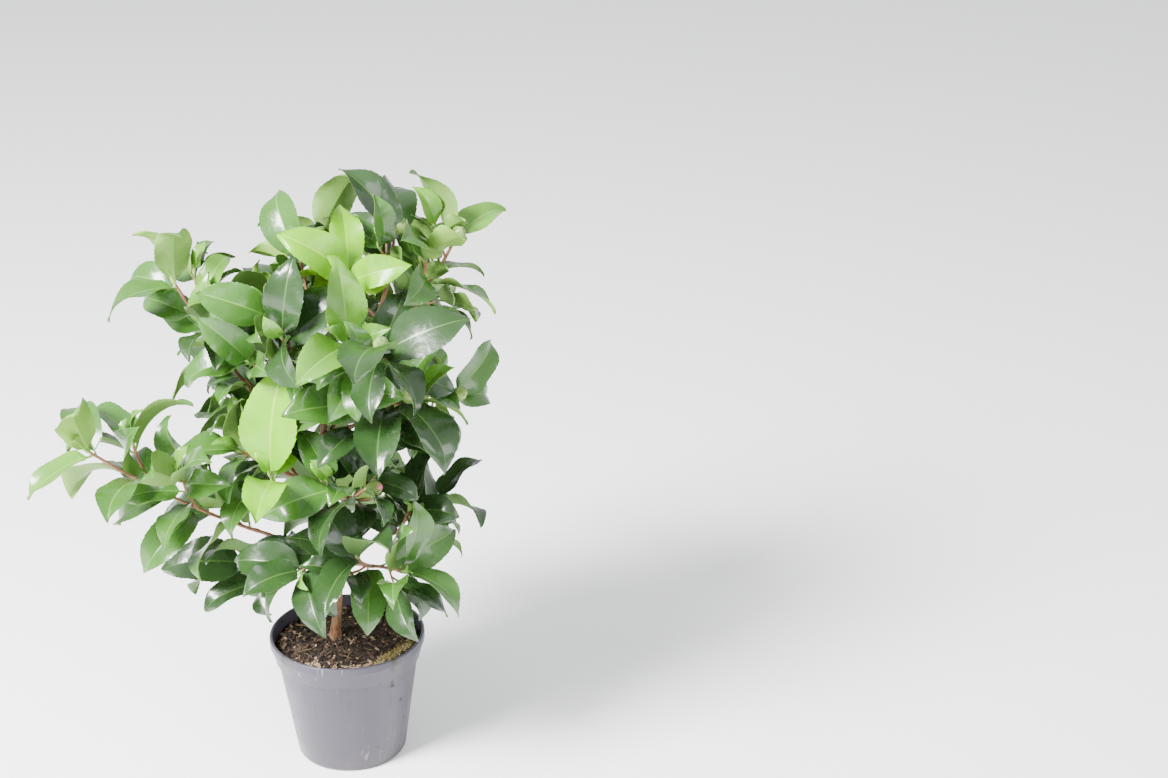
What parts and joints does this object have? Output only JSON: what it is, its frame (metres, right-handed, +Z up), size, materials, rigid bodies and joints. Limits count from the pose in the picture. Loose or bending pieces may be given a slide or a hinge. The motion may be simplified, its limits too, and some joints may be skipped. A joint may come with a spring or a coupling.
{
  "type": "potted camellia shrub",
  "caption": "Young camellia shrub with glossy oval leaves and round flower buds, in a round tapered nursery pot.",
  "frame": {"origin": "centre of the pot's flat underside", "axes": "+Z up along the plant's height; the side seen in the picture faces -Y, and +X is to the right there"},
  "size_m": [0.4256, 0.395, 0.5966],
  "materials": {
    "pot": "smooth injection-moulded, grey-mauve, satin",
    "compost": "moist dark brown compost with bark chips",
    "bark": "thin tan to red-brown bark",
    "leaf": "thick glossy dark green leaves",
    "young_leaf": "soft bright yellow-green young leaves"
  },
  "bodies": {
    "root": {"pot": "pot", "compost": "compost", "trunk": "bark", "bough_low_left": "bark", "leaves_low_left": "leaf", "bough_skirt_left": "bark", "leaves_skirt_left": "leaf", "bough_mid_left": "bark", "leaves_mid_left": "leaf", "bough_fan_left": "bark", "leaves_fan_left": "leaf", "bough_front_left": "bark", "leaves_front_left": "young_leaf", "bough_low_right": "bark", "leaves_low_right": "leaf", "bough_mid_right": "bark", "leaves_mid_right": "leaf", "bough_low_front": "bark", "leaves_low_front": "leaf", "bough_low_front_right": "bark", "leaves_low_front_right": "leaf", "bough_mid_front": "bark", "leaves_mid_front": "leaf", "bough_front_right": "bark", "leaves_front_right": "leaf", "bough_low_back": "bark", "leaves_low_back": "leaf", "bough_mid_back": "bark", "leaves_mid_back": "leaf", "bough_back_right": "bark", "leaves_back_right": "leaf", "bough_back_left": "bark", "leaves_back_left": "leaf", "bough_high_left": "bark", "leaves_high_left": "leaf", "bough_leader_left": "bark", "leaves_leader_left": "leaf", "bough_leader_right": "bark", "leaves_leader_right": "leaf", "bough_upper_left": "bark", "leaves_upper_left": "leaf", "bough_upper_front": "bark", "leaves_upper_front": "leaf", "bough_upper_back": "bark", "leaves_upper_back": "leaf", "bough_bright_front": "bark", "leaves_bright_front": "young_leaf", "bough_upper_right": "bark", "leaves_upper_right": "leaf", "bough_upper_front_right": "bark", "leaves_upper_front_right": "leaf"}
  },
  "joints": []
}
